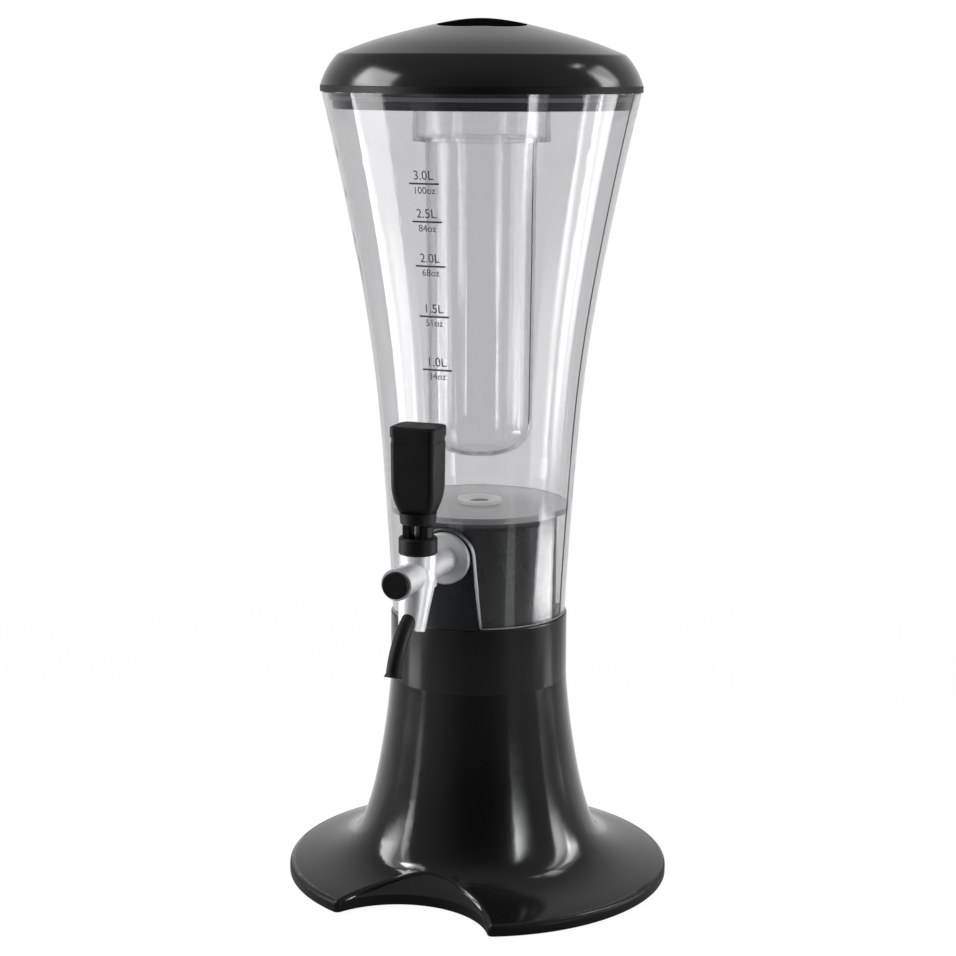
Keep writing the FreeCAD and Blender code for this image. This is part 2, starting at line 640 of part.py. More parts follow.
def make_bonnet():
    """The collar over the lever's ball, with its friction washer."""
    collar = upright(BONNET_R, BONNET_LOW_Z, BONNET_TOP_Z, out=LEVER_OUT)
    rims = [edge for edge in collar.Edges if edge.BoundBox.ZLength < 0.01]
    collar = collar.makeChamfer(BONNET_CHAMFER, rims)
    neck_top = BONNET_TOP_Z - BONNET_ROOF
    collar = collar.cut(upright(BONNET_NECK_R + 0.05, BONNET_LOW_Z - OVER, neck_top, out=LEVER_OUT))
    way_half, way_far, way_low, way_top = 4.4, 5.5, neck_top - 3.0, EAR_TOP_Z + 2.0
    slot = joined([upright(way_half, way_low, way_top, out=LEVER_OUT),
                   upright(way_half, way_low, way_top, out=LEVER_OUT + way_far),
                   Part.makeBox(2 * way_half, way_far, way_top - way_low,
                                at(LEVER_OUT + way_far, way_low, -way_half))])
    ears = upright(EAR_R, BONNET_TOP_Z - 0.5, EAR_TOP_Z, out=LEVER_OUT)
    ear_high, reach = 2 * (EAR_TOP_Z - BONNET_TOP_Z), 1.5 * EAR_R
    ears = ears.common(Part.makeBox(2 * reach, 2 * EAR_HALF, ear_high,
                                    at(LEVER_OUT + EAR_HALF, BONNET_TOP_Z - 1, -reach)))
    ears = ears.cut(Part.makeBox(2 * EAR_GAP_HALF, 2 * EAR_HALF + 2, ear_high,
                                 at(LEVER_OUT + EAR_HALF + 1, BONNET_TOP_Z - 2, -EAR_GAP_HALF)))
    keep("bonnet_collar", collar.fuse(ears).removeSplitter().cut(slot))
    keep("friction_washer", ring(WASHER_R, BALL_R - 0.2, WASHER_LOW_Z, WASHER_LOW_Z + 1.2, out=LEVER_OUT))


def make_lever():
    """The lever with its ball and finger, and the ferrule, handle and cap on it."""
    ball = Part.makeSphere(BALL_R, at(LEVER_OUT, PIVOT_Z))
    finger = upright(FINGER_R, PIVOT_Z - FINGER_ARM, PIVOT_Z - 4, out=LEVER_OUT)
    tip = Part.makeSphere(FINGER_TIP_R, at(LEVER_OUT, PIVOT_Z - FINGER_ARM))
    rod = upright(LEVER_ROD_R, PIVOT_Z + 4, ROD_TOP_Z, out=LEVER_OUT)
    keep("lever", joined([ball, finger, tip, rod]))

    cone = Part.makeCone(FERRULE_LOW_R, FERRULE_TOP_R, HANDLE_LOW_Z - FERRULE_LOW_Z,
                         at(LEVER_OUT, FERRULE_LOW_Z), UP)
    rod_room = upright(LEVER_ROD_R, PIVOT_Z + 4, ROD_TOP_Z, out=LEVER_OUT)
    keep("lever_ferrule", cone.cut(rod_room))

    corner, band = 4.0, 0.4
    waist = [(0.70, 0.0), (0.83, 5.0), (0.93, 11.0), (0.98, 18.0)]
    sections = [rounded_slab(HANDLE_WIDE * size, HANDLE_DEEP * size, corner, HANDLE_LOW_Z + rise, LEVER_OUT)
                for size, rise in waist]
    low = Part.makeLoft(sections, True, False)
    shoulder = rounded_slab(HANDLE_WIDE, HANDLE_DEEP, corner, BAND_LOW_Z, LEVER_OUT)
    high = Part.makeLoft([sections[-1], shoulder], True, True)
    core = Part.Face(rounded_slab(HANDLE_WIDE - 2 * band, HANDLE_DEEP - 2 * band, corner - band,
                                  BAND_LOW_Z - 0.5, LEVER_OUT))
    core = core.extrude(UP * (BAND_TOP_Z - BAND_LOW_Z + 0.5))
    keep("handle", joined([low, high, core]).cut(rod_room))

    cap = Part.Face(rounded_slab(HANDLE_WIDE + 2 * band, HANDLE_DEEP + 2 * band, corner + band,
                                 BAND_TOP_Z, LEVER_OUT))
    cap = cap.extrude(UP * (HANDLE_TOP_Z - BAND_TOP_Z))
    top_rim = [edge for edge in cap.Edges if edge.BoundBox.ZMin > HANDLE_TOP_Z - 0.01]
    keep("handle_cap", cap.makeFillet(HANDLE_EDGE, top_rim))


def make_piston():
    """The valve piston with the slot for the lever's finger, and its seal."""
    half, cheek, seat = 7.0, 3.3, SEAT_OUT - 3.5
    block = level(PISTON_R, LEVER_OUT - half, LEVER_OUT + half)
    slot = Part.makeBox(2 * SLOT_HALF, 2 * cheek, 2 * half,
                        at(LEVER_OUT + cheek, BARREL_Z - half, -SLOT_HALF))
    parts = joined([block, level(STEM_R, seat - 3, CAP_FRONT - 6), level(PISTON_R - 0.1, seat - 3.5, seat)])
    keep("valve_piston", parts.cut(slot))
    keep("piston_seal", level_ring(PISTON_SEAL_R, STEM_R, seat, SEAT_OUT - 0.1))


# ---- container ----------------------------------------------------------------------------

def container_curve(points, wall):
    """The flared side of the container at a depth inside its outer face."""
    return smooth([(r - wall, z) for r, z in points])


def make_container():
    """The clear flared container with its arched skirt, its floor and its outlet spigot."""
    outside = container_curve(CONTAINER, 0.0)
    inside = container_curve(CONTAINER, CONTAINER_WALL)
    low_out, top_out = CONTAINER[0], CONTAINER[-1]
    low_in = (low_out[0] - CONTAINER_WALL, low_out[1])
    top_in = (top_out[0] - CONTAINER_WALL, top_out[1])
    shell = turned_edges([outside.toShape(), line(top_out, top_in), inside.toShape(),
                          line(low_in, low_out)])
    opening = arch(ARCH_LOW_HALF, ARCH_TOP_HALF, CONTAINER_LOW_Z - OVER, ARCH_CENTRE_Z, ARCH_NEAR, ARCH_FAR)
    shell = shell.cut(opening)
    keep("container_shell", shell)

    weld_gap = 0.05
    inner_low = radius_at(inside, FLOOR_LOW_Z) - weld_gap
    inner_top = radius_at(inside, FLOOR_TOP_Z) - weld_gap
    floor = turned([(0, FLOOR_LOW_Z), (inner_low, FLOOR_LOW_Z), (inner_top, FLOOR_TOP_Z),
                    (0, FLOOR_TOP_Z)])
    keep("container_floor", floor.cut(upright(SPIGOT_R, FLOOR_LOW_Z - OVER, FLOOR_TOP_Z + OVER)))

    flange_top = FLOOR_TOP_Z + SPIGOT_FLANGE
    spigot = turned([(SPIGOT_BORE_R, SPIGOT_LOW_Z), (SPIGOT_R - 0.8, SPIGOT_LOW_Z),
                     (SPIGOT_R, SPIGOT_LOW_Z + 1.5), (SPIGOT_R, FLOOR_TOP_Z),
                     (SPIGOT_FLANGE_R, FLOOR_TOP_Z), (SPIGOT_FLANGE_R - 1.0, flange_top),
                     (SPIGOT_FLANGE_R - 5.0, flange_top), (SPIGOT_BORE_R, FLOOR_TOP_Z + 0.6)])
    keep("outlet_spigot", spigot)


def radius_at(curve, z):
    """The radius of a rising curve at a height."""
    wide = 4 * BASE_R
    cut = curve.toShape().section(Part.makePlane(wide, wide, Vector(-OVER, -wide / 2, z), UP))
    return cut.Vertexes[0].X


# ---- lid ----------------------------------------------------------------------------------

def lid_outline(depth, low):
    """The edges of the lid's outside, or of the same shape a depth inside it."""
    side = LID_R - depth
    crease = (LID_CREASE_R - depth * 0.75, LID_CREASE_Z - depth * 0.9)
    apex = (0, TOTAL_HEIGHT - depth)
    dome = [crease] + [(r, z - depth) for r, z in DOME] + [apex]
    crown = Part.BSplineCurve()
    crown.interpolate(Points=[Vector(r, 0, z) for r, z in dome],
                      InitialTangent=Vector(-0.93, 0, 0.37), FinalTangent=Vector(-1, 0, 0))
    flank = (LID_FLANK[0] - depth * 0.9, LID_FLANK[1] - depth * 0.4)
    return [line((0, low), (side, low)), line((side, low), (side, LID_BAND_Z)),
            arc((side, LID_BAND_Z), flank, crease), crown.toShape(), line(apex, (0, low))]


def make_lid():
    """The domed lid with its grip, and the plug under it that seals and carries the tube."""
    outer = turned_edges(lid_outline(0.0, LID_LOW_Z))
    crease = [edge for edge in outer.Edges if abs(edge.BoundBox.ZMin - LID_CREASE_Z) < 0.01
              and edge.BoundBox.ZLength < 0.01]
    outer = outer.makeFillet(LID_CREASE_EDGE, crease)
    inner = turned_edges(lid_outline(LID_WALL, LID_LOW_Z + LID_LIP))
    shell = outer.cut(inner).cut(upright(LIP_R, LID_LOW_Z - OVER, LID_LOW_Z + LID_LIP + OVER))
    cup = grip_block(LID_WALL, GRIP_FLOOR_Z - LID_WALL).common(outer)
    well = grip_block(0.0, GRIP_FLOOR_Z)
    bar_corner = Vector(-GRIP_DEEP, -GRIP_BAR / 2, GRIP_FLOOR_Z)
    bar = Part.makeBox(2 * GRIP_DEEP, GRIP_BAR, GRIP_CUT_HIGH, bar_corner)
    bar.rotate(ORIGIN, UP, GRIP_TURN)
    shell = shell.fuse(cup).removeSplitter().cut(well.cut(bar))
    mouth = [edge for edge in shell.Edges if is_grip_rim(edge)]
    keep("lid_shell", shell.makeFillet(GRIP_EDGE, mouth))

    plate = upright(PLATE_R, PLUG_TOP_Z, LID_LOW_Z)
    skirt = ring(PLUG_R, PLUG_R - PLUG_SKIRT, PLUG_LOW_Z, PLUG_TOP_Z)
    socket = ring(SOCKET_R, SOCKET_R - SOCKET_WALL, PLUG_LOW_Z, PLUG_TOP_Z)
    body = joined([plate, skirt, socket])
    way_r, way_low, way_top = SOCKET_R - LUG_DEEP - LUG_PLAY, LUG_LOW_Z - LUG_PLAY, LUG_TOP_Z + LUG_PLAY
    body = body.cut(ring(SOCKET_R + OVER, way_r, way_low, way_top))
    entry = sector(way_r, SOCKET_R + OVER, LUG_ANGLE + 4.0, PLUG_LOW_Z - OVER, way_top)
    body = body.cut(joined_compound(around(entry, LUGS, TWIST)))
    keep("lid_plug", body)
    keep("lid_gasket", ring(GASKET_R, PLUG_R, GASKET_LOW_Z, PLUG_TOP_Z))


def grip_block(grow, low):
    """The rounded block of the grip recess, grown on every side, from a height upwards."""
    outline = rounded_slab(GRIP_WIDE + 2 * grow, GRIP_DEEP + 2 * grow, GRIP_CORNER + grow, low, 0.0)
    block = Part.Face(outline).extrude(UP * GRIP_CUT_HIGH)
    block.rotate(ORIGIN, UP, GRIP_TURN)
    return block


def is_grip_rim(edge):
    """Whether an edge of the lid is an upper edge of a finger well."""
    if edge.BoundBox.ZMin < DOME[0][1]:
        return False
    point = edge.valueAt((edge.FirstParameter + edge.LastParameter) / 2)
    return math.hypot(point.x, point.y) < GRIP_DEEP / 2 + 2 * OVER


def sector(inner, outer, angle, low, high):
    """A piece of a ring, centred on +X."""
    whole = ring(outer, inner, low, high)
    wedge = Part.makeCylinder(outer + 5, high - low + 2, Vector(0, 0, low - 1), UP, angle)
    wedge.rotate(ORIGIN, UP, -angle / 2)
    return whole.common(wedge)


def make_ice_tube():
    """The clear tube for ice, the wider bayonet collar that it hangs in, and the seal above that."""
    low_side = (TUBE_LOW_R, TUBE_LOW_Z + TUBE_CORNER_R)
    corner = tube_corner(TUBE_LOW_R, TUBE_LOW_Z, TUBE_CORNER_R)
    outer = turned_edges([line((0, TUBE_LOW_Z), corner[0]), arc(*corner),
                          line(low_side, (TUBE_TOP_R, COLLAR_STEP_Z)),
                          line((TUBE_TOP_R, COLLAR_STEP_Z), (0, COLLAR_STEP_Z)),
                          line((0, COLLAR_STEP_Z), (0, TUBE_LOW_Z))])
    inside = tube_corner(TUBE_LOW_R - TUBE_WALL, TUBE_LOW_Z + TUBE_WALL, TUBE_CORNER_R - TUBE_WALL)
    mouth_r, over = TUBE_TOP_R - TUBE_WALL, COLLAR_STEP_Z + 1
    inner = turned_edges([line((0, TUBE_LOW_Z + TUBE_WALL), inside[0]), arc(*inside),
                          line(inside[2], (mouth_r, over)), line((mouth_r, over), (0, over)),
                          line((0, over), (0, TUBE_LOW_Z + TUBE_WALL))])
    keep("ice_tube", outer.cut(inner))

    step_low = COLLAR_STEP_Z - COLLAR_STEP
    flange = upright(COLLAR_R + COLLAR_LIP, step_low, COLLAR_STEP_Z + COLLAR_STEP / 2)
    collar = joined([upright(COLLAR_R, step_low, COLLAR_TOP_Z), flange])
    collar = collar.cut(upright(COLLAR_R - COLLAR_WALL, COLLAR_STEP_Z, COLLAR_TOP_Z + 1)).cut(outer)
    lug = sector(SOCKET_R - LUG_DEEP, COLLAR_R - 1.0, LUG_ANGLE, LUG_LOW_Z, LUG_TOP_Z)
    collar = collar.fuse(joined_compound(around(lug, LUGS))).removeSplitter()
    keep("tube_collar", collar)
    keep("tube_seal", ring(COLLAR_R, SOCKET_R + 0.1, COLLAR_TOP_Z + 0.1, PLUG_TOP_Z))


def tube_corner(radius, low, bend):
    """The rounded bottom corner of a tube, as an arc's three points."""
    slant = math.sqrt(0.5) * bend
    return ((radius - bend, low), (radius - bend + slant, low + bend - slant), (radius, low + bend))


# ---- build --------------------------------------------------------------------------------

make_base()
make_sleeve()
make_neck()
make_drink_path()
make_tap_fixing()
make_tap_body()
make_nozzle()
make_tap_front()
make_bonnet()
make_lever()
make_piston()
make_container()
make_lid()
make_ice_tube()

for node, shape in NODES.items():
    shape.exportStep("parts/" + node + ".step")
    print(node, "solids", len(shape.Solids), "valid", shape.isValid(), "volume", round(shape.Volume))
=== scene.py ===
import logging
import math
from dataclasses import dataclass, field
from enum import Enum

import bmesh
import bpy
from mathutils import Matrix, Vector


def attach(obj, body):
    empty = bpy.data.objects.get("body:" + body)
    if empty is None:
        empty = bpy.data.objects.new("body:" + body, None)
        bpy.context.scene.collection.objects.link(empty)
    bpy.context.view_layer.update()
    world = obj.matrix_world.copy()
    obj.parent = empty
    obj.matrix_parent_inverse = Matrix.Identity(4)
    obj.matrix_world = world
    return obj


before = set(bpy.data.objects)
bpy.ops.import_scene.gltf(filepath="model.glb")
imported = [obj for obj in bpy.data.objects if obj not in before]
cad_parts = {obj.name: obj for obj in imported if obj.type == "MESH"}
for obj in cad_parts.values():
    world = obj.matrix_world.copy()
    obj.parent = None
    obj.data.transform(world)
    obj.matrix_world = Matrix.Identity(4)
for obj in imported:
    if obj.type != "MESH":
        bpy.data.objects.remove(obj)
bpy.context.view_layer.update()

log = logging.getLogger("drink_tower")
MM = 0.001
MERGE_MM = 0.01
TEXT_MERGE_MM = 0.001
HALF = 0.5
WAVE_ENDS = (0.3, 0.7)
Point = tuple[float, float]
Colour = tuple[float, float, float, float]
Fed = bpy.types.NodeSocket | float
CLEAR_NODES = ("container_shell", "container_floor", "ice_tube", "tube_collar")
FLOOR_NODES = ("container_floor", "outlet_spigot")


# ---- colours and shader nodes ---------------------------------------------------------------

def linear(hex_colour: str) -> Colour:
    """Turn an sRGB hex colour into the linear colour that a shader takes.

    Args:
        hex_colour: six hex digits after a hash.

    Returns:
        Red, green, blue and alpha, linear.
    """
    parts = [int(hex_colour[i:i + 2], 16) / 255 for i in (1, 3, 5)]
    red, green, blue = [c / 12.92 if c <= 0.04045 else ((c + 0.055) / 1.055) ** 2.4 for c in parts]
    return red, green, blue, 1.0


def add_node(tree: bpy.types.NodeTree, kind: str, settings: dict | None = None,
             links: dict | None = None) -> bpy.types.Node:
    """Add a shader node with its settings and its incoming links.

    Args:
        tree: the node tree that takes the node.
        kind: the node's type name.
        settings: properties by name, or input values by socket name or number.
        links: output sockets by the name or number of the input that they feed.

    Returns:
        The new node.
    """
    node = tree.nodes.new(kind)
    for key, value in (settings or {}).items():
        if isinstance(key, str) and key in node.bl_rna.properties:
            setattr(node, key, value)
        else:
            node.inputs[key].default_value = value
    for key, socket in (links or {}).items():
        tree.links.new(socket, node.inputs[key])
    return node


def feed(tree: bpy.types.NodeTree, place: bpy.types.NodeSocket, value: Fed) -> None:
    """Give an input its value.

    Args:
        tree: the node tree.
        place: the input.
        value: the output socket that feeds it, or a number.
    """
    if isinstance(value, bpy.types.NodeSocket):
        tree.links.new(value, place)
    else:
        place.default_value = value


def maths(tree: bpy.types.NodeTree, operation: str, first: Fed, second: Fed = 0.0) -> bpy.types.NodeSocket:
    """One step of arithmetic.

    Args:
        tree: the node tree.
        operation: what a Math node calls it.
        first: the first socket or number.
        second: the second one, where the operation takes two.

    Returns:
        The socket of the result.
    """
    node = add_node(tree, "ShaderNodeMath", {"operation": operation})
    feed(tree, node.inputs[0], first)
    feed(tree, node.inputs[1], second)
    return node.outputs[0]


def blend(tree: bpy.types.NodeTree, share: Fed, first: Fed, second: Fed) -> bpy.types.NodeSocket:
    """A value between two others.

    Args:
        tree: the node tree.
        share: 0 for the first value and 1 for the second.
        first: the first value.
        second: the second value.

    Returns:
        The socket of the result.
    """
    node = add_node(tree, "ShaderNodeMix", {"data_type": "FLOAT"})
    for place, value in ((0, share), (2, first), (3, second)):
        feed(tree, node.inputs[place], value)
    return node.outputs[0]


def new_material(name: str) -> tuple[bpy.types.Material, bpy.types.NodeTree]:
    """Start an empty node material.

    Args:
        name: the material's name.

    Returns:
        The material and its node tree.
    """
    material = bpy.data.materials.new(name)
    material.use_nodes = True
    material.node_tree.nodes.clear()
    return material, material.node_tree


def grey(level: float) -> Colour:
    """A linear grey."""
    return level, level, level, 1.0


def set_stops(ramp: bpy.types.ColorRamp, stops: list[tuple[float, Colour]]) -> None:
    """Give a new colour ramp its stops.

    Args:
        ramp: the ramp.
        stops: places from 0 to 1 in rising order, each with its colour.
    """
    while len(ramp.elements) < len(stops):
        ramp.elements.new(HALF)
    for element, (place, colour) in zip(ramp.elements, stops):
        element.position = place
        element.color = colour


def sheen_over(tree: bpy.types.NodeTree, waves: bpy.types.Node, middle: float,
               spread: float) -> bpy.types.NodeSocket:
    """A roughness that wanders with the waves.

    Args:
        tree: the node tree.
        waves: the waves' noise node.
        middle: the middle roughness.
        spread: how far it goes to either side.

    Returns:
        The socket of the roughness.
    """
    low, high = WAVE_ENDS
    sheen = add_node(tree, "ShaderNodeMapRange",
                     {"From Min": low, "From Max": high,
                      "To Min": middle - spread, "To Max": middle + spread},
                     {"Value": waves.outputs[0]})
    return sheen.outputs[0]


def object_height(tree: bpy.types.NodeTree) -> bpy.types.NodeSocket:
    """The socket of the height on the piece, in metres."""
    place = add_node(tree, "ShaderNodeTexCoord")
    return add_node(tree, "ShaderNodeSeparateXYZ", None, {0: place.outputs["Object"]}).outputs["Z"]


def mould_waves(tree: bpy.types.NodeTree, wave_mm: float, stretch_z: float = 1.0) -> bpy.types.Node:
    """Soft waves over the surface in Object coordinates.

    Args:
        tree: the node tree.
        wave_mm: the size of one wave in millimetres.
        stretch_z: how many times longer the waves are upwards.

    Returns:
        The noise node, whose first output runs from 0 to 1.
    """
    place = add_node(tree, "ShaderNodeTexCoord")
    squash = add_node(tree, "ShaderNodeMapping", {"Scale": (1.0, 1.0, 1.0 / stretch_z)},
                      {"Vector": place.outputs["Object"]})
    return add_node(tree, "ShaderNodeTexNoise",
                    {"Scale": 1.0 / (wave_mm * MM), "Detail": 3.0, "Roughness": 0.55},
                    {"Vector": squash.outputs["Vector"]})


# ---- finishes -------------------------------------------------------------------------------

@dataclass(frozen=True)
class MouldedPlastic:
    """Injection-moulded ABS: one deep colour, with a sheen that wanders where the mould flowed."""
    name: str
    colour: str
    dusty: str
    roughness: float
    spread: float
    specular: float
    wave_mm: float
    grain_mm: float
    grain_deep_mm: float
    dull_below_mm: float = 0.0
    dull_roughness: float = 0.45
    dull_specular: float = 0.16
    ior: float = 1.54

    def make(self) -> bpy.types.Material:
        """Build the material.

        Returns:
            The material.
        """
        material, tree = new_material(self.name)
        waves = mould_waves(tree, self.wave_mm)
        grain = mould_waves(tree, self.grain_mm)
        dull = maths(tree, "LESS_THAN", object_height(tree), self.dull_below_mm * MM)
        colour = add_node(tree, "ShaderNodeMix",
                          {"data_type": "RGBA", 6: linear(self.colour), 7: linear(self.dusty)},
                          {0: waves.outputs[0]})
        sheen = sheen_over(tree, waves, self.roughness, self.spread)
        sheen = blend(tree, dull, sheen, self.dull_roughness)
        gloss = blend(tree, dull, self.specular, self.dull_specular)
        bump = add_node(tree, "ShaderNodeBump",
                        {"Strength": 1.0, "Distance": self.grain_deep_mm * MM},
                        {"Height": grain.outputs[0]})
        shader = add_node(tree, "ShaderNodeBsdfPrincipled",
                          {"IOR": self.ior},
                          {"Base Color": colour.outputs[2], "Roughness": sheen,
                           "Specular IOR Level": gloss, "Normal": bump.outputs[0]})
        add_node(tree, "ShaderNodeOutputMaterial", None, {"Surface": shader.outputs[0]})
        return material


@dataclass(frozen=True)
class ClearPlastic:
    """Clear moulded SAN: faintly grey through its thickness, with long soft flow lines."""
    name: str
    tint: str
    roughness: float
    flow_mm: float
    flow_deep_mm: float
    smoke: str
    smoke_per_m: float
    clear: float = 1.0
    ior: float = 1.52
    flow_long: float = 9.0

    def make(self) -> bpy.types.Material:
        """Build the material.

        Returns:
            The material.
        """
        material, tree = new_material(self.name)
        flow = mould_waves(tree, self.flow_mm, self.flow_long)
        bump = add_node(tree, "ShaderNodeBump", {"Strength": 1.0, "Distance": self.flow_deep_mm * MM},
                        {"Height": flow.outputs[0]})
        shader = add_node(tree, "ShaderNodeBsdfPrincipled",
                          {"Base Color": linear(self.tint), "Roughness": self.roughness,
                           "IOR": self.ior, "Transmission Weight": self.clear},
                          {"Normal": bump.outputs[0]})
        inside = add_node(tree, "ShaderNodeVolumeAbsorption",
                          {"Color": linear(self.smoke), "Density": self.smoke_per_m})
        add_node(tree, "ShaderNodeOutputMaterial", None,
                 {"Surface": shader.outputs[0], "Volume": inside.outputs[0]})
        return material


@dataclass(frozen=True)
class Metal:
    """Plated or turned metal: bright, with fine tool or polishing marks in its sheen."""
    name: str
    colour: str
    roughness: float
    spread: float
    mark_mm: float
    mark_deep_mm: float
    plated: float = 1.0

    def make(self) -> bpy.types.Material:
        """Build the material.

        Returns:
            The material.
        """
        material, tree = new_material(self.name)
        marks = mould_waves(tree, self.mark_mm)
        sheen = sheen_over(tree, marks, self.roughness, self.spread)
        bump = add_node(tree, "ShaderNodeBump",
                        {"Strength": 1.0, "Distance": self.mark_deep_mm * MM},
                        {"Height": marks.outputs[0]})
        shader = add_node(tree, "ShaderNodeBsdfPrincipled",
                          {"Base Color": linear(self.colour), "Metallic": self.plated},
                          {"Roughness": sheen, "Normal": bump.outputs[0]})
        add_node(tree, "ShaderNodeOutputMaterial", None, {"Surface": shader.outputs[0]})
        return material


@dataclass(frozen=True)
class PaintedHighlightEdge:
    """The edge of a clear moulding whose colour is painted light by height in mm: painted highlight low
    down, painted shade at the top.
    """
    name: str
    roughness: float
    stops: tuple[tuple[float, str], ...]

    def make(self) -> bpy.types.Material:
        """Build the material.

        Returns:
            The material.
        """
        material, tree = new_material(self.name)
        low, high = self.stops[0][0], self.stops[-1][0]
        share = add_node(tree, "ShaderNodeMapRange", {"From Min": low * MM, "From Max": high * MM},
                         {"Value": object_height(tree)})
        # this colour ramp by height is painted light: painted highlight on the sides, painted shade at the
        # crown
        tone = add_node(tree, "ShaderNodeValToRGB", None, {0: share.outputs[0]})
        set_stops(tone.color_ramp, [((height - low) / (high - low), linear(colour))
                                    for height, colour in self.stops])
        shader = add_node(tree, "ShaderNodeBsdfPrincipled", {"Roughness": self.roughness},
                          {"Base Color": tone.outputs[0]})
        add_node(tree, "ShaderNodeOutputMaterial", None, {"Surface": shader.outputs[0]})
        return material


class Finish(Enum):
    """The finishes of the tower, each named for its real material and how it was made.

    Grain and marks are drawn coarser than the real ones, which are a few hundredths of a millimetre,
    so that they still show.
    """
    # polished-mould ABS: near-black and mirror-like, so it shows long soft highlights; the base's rim,
    # its lowest 7.5 mm, comes out of the mould dull
    GLOSS_BLACK = MouldedPlastic("moulded_gloss_abs", "#0A0A0C", "#0F0F11", 0.12, 0.03, 0.5, 60.0, 6.0,
                                 0.004, dull_below_mm=7.5)
    # the same ABS on the lid, whose lower lip is left dull where it is gripped
    LID_BLACK = MouldedPlastic("moulded_gloss_abs_lid", "#0A0A0C", "#0F0F11", 0.15, 0.03, 0.5, 60.0, 6.0,
                               0.004, dull_below_mm=541.6)
    # plain-mould ABS behind the clear skirt: black with a slightly blue, softer shine
    INNER_BLACK = MouldedPlastic("moulded_plain_abs", "#101216", "#16181D", 0.26, 0.05, 0.4, 30.0, 3.0,
                                 0.006)
    # the stem's sleeve from a less polished mould: the same black with softer, wider highlights
    SLEEVE_BLACK = MouldedPlastic("moulded_semi_gloss_abs", "#0B0B0D", "#101012", 0.2, 0.04, 0.36, 50.0,
                                  5.0, 0.004)
    # spark-eroded mould on the tap's grip: deep black with a dull, finely grained sheen
    SATIN_BLACK = MouldedPlastic("moulded_satin_abs", "#070708", "#0C0C0D", 0.48, 0.06, 0.16, 14.0, 0.8,
                                 0.02)
    # clear SAN: lightly smoked by its own thickness, glossy on both faces
    CLEAR = ClearPlastic("moulded_clear_san", "#E8E8E9", 0.015, 22.0, 0.003, "#BCBCBD", 10.0)
    # thinner clear SAN of the ice tube
    CLEAR_TUBE = ClearPlastic("moulded_clear_san_tube", "#FDFDFE", 0.015, 18.0, 0.001, "#BCBCBE", 5.0)
    # the container's floor: the same clear SAN, left dull by its mould so that it looks paler
    CLEAR_FLOOR = ClearPlastic("moulded_clear_san_floor", "#F2F2F3", 0.12, 14.0, 0.01, "#E8E8E8", 4.0, 0.7)
    # edge of the clear SAN, milky, with its light painted into its colour: painted highlight up the arch's
    # sides and along the skirt's foot, painted shade over the arch's crown
    CLEAR_EDGE = PaintedHighlightEdge("san_edge_painted_highlight", 0.3, (
        (187.0, "#8A8C8E"), (196.0, "#A4A6A8"), (212.0, "#BCBEC0"), (230.0, "#F0F2F4"), (241.0, "#F4F6F8"),
        (247.0, "#8E9092"), (253.0, "#3A3B3D")))
    # natural polypropylene of the outlet: milky and waxy
    MILKY = MouldedPlastic("natural_polypropylene", "#CFD1CE", "#D8D9D5", 0.38, 0.06, 0.45, 10.0, 1.2, 0.01)
    # grey silicone seal of the lid: dull and even
    GREY_SEAL = MouldedPlastic("grey_silicone_rubber", "#6E6E72", "#7A7A7E", 0.5, 0.06, 0.35, 8.0, 0.9,
                               0.02)
    # satin chrome on ABS: bright and soft, so it gathers light from all round
    CHROME = Metal("satin_chrome_abs", "#DEDEE1", 0.4, 0.05, 7.0, 0.01, 0.62)
    # turned stainless steel of the lever and screws: duller and finely marked
    STEEL = Metal("turned_stainless", "#8E8E92", 0.24, 0.06, 0.9, 0.006)
    # metal-look plate behind the tap: soft bright grey
    PLATE_GREY = Metal("satin_plated_abs", "#ABACAE", 0.5, 0.05, 4.0, 0.02, 0.3)
    # nitrile rubber: flat black, faintly dusty
    RUBBER = MouldedPlastic("nitrile_rubber", "#151515", "#212121", 0.72, 0.08, 0.3, 9.0, 0.7, 0.05)
    # silicone seal: milky and soft
    SILICONE = MouldedPlastic("silicone_rubber", "#C9C8C2", "#D8D7D2", 0.5, 0.06, 0.35, 8.0, 0.9, 0.03)
    # screen-printed ink of the volume marks: flat dark grey, slightly uneven
    INK = MouldedPlastic("screen_print_ink", "#1E1E21", "#333337", 0.55, 0.08, 0.3, 2.0, 0.4, 0.01)


MADE: dict[Finish, bpy.types.Material] = {}


def finish_material(finish: Finish) -> bpy.types.Material:
    """The one material of a finish, made when it is first asked for.

    Args:
        finish: the finish.

    Returns:
        Its material.
    """
    if finish not in MADE:
        MADE[finish] = finish.value.make()
    return MADE[finish]


def dress_node(node: str, finish: Finish) -> None:
    """Give a solid of the frame its finish.

    Args:
        node: the solid's name.
        finish: the finish that it takes.
    """
    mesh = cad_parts[node].data
    for index in range(len(mesh.materials)):
        mesh.materials[index] = finish_material(finish)
    log.info("dressed %s as %s", node, finish.value.name)


# ---- meshes ---------------------------------------------------------------------------------

def place_piece(mesh: bmesh.types.BMesh, name: str, finish: Finish, body: str,
                smooth: bool = True) -> bpy.types.Object:
    """Turn a finished bmesh into a piece that rides on a body.

    Args:
        mesh: the bmesh, in metres, at its place; it is freed.
        name: the piece's name.
        finish: its finish.
        body: the body that it rides on.
        smooth: whether its faces are shaded smooth.

    Returns:
        The piece.
    """
    data = bpy.data.meshes.new(name)
    for face in mesh.faces:
        face.smooth = smooth
    mesh.to_mesh(data)
    mesh.free()
    piece = bpy.data.objects.new(name, data)
    bpy.context.scene.collection.objects.link(piece)
    data.materials.append(finish_material(finish))
    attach(piece, body)
    log.info("made %s on %s, %d faces", name, body, len(data.polygons))
    return piece


# ---- the tower's shape, as the frame has it --------------------------------------------------

@dataclass(frozen=True)
class Volume:
    """One printed volume mark."""
    height_mm: float
    litres: str
    ounces: str


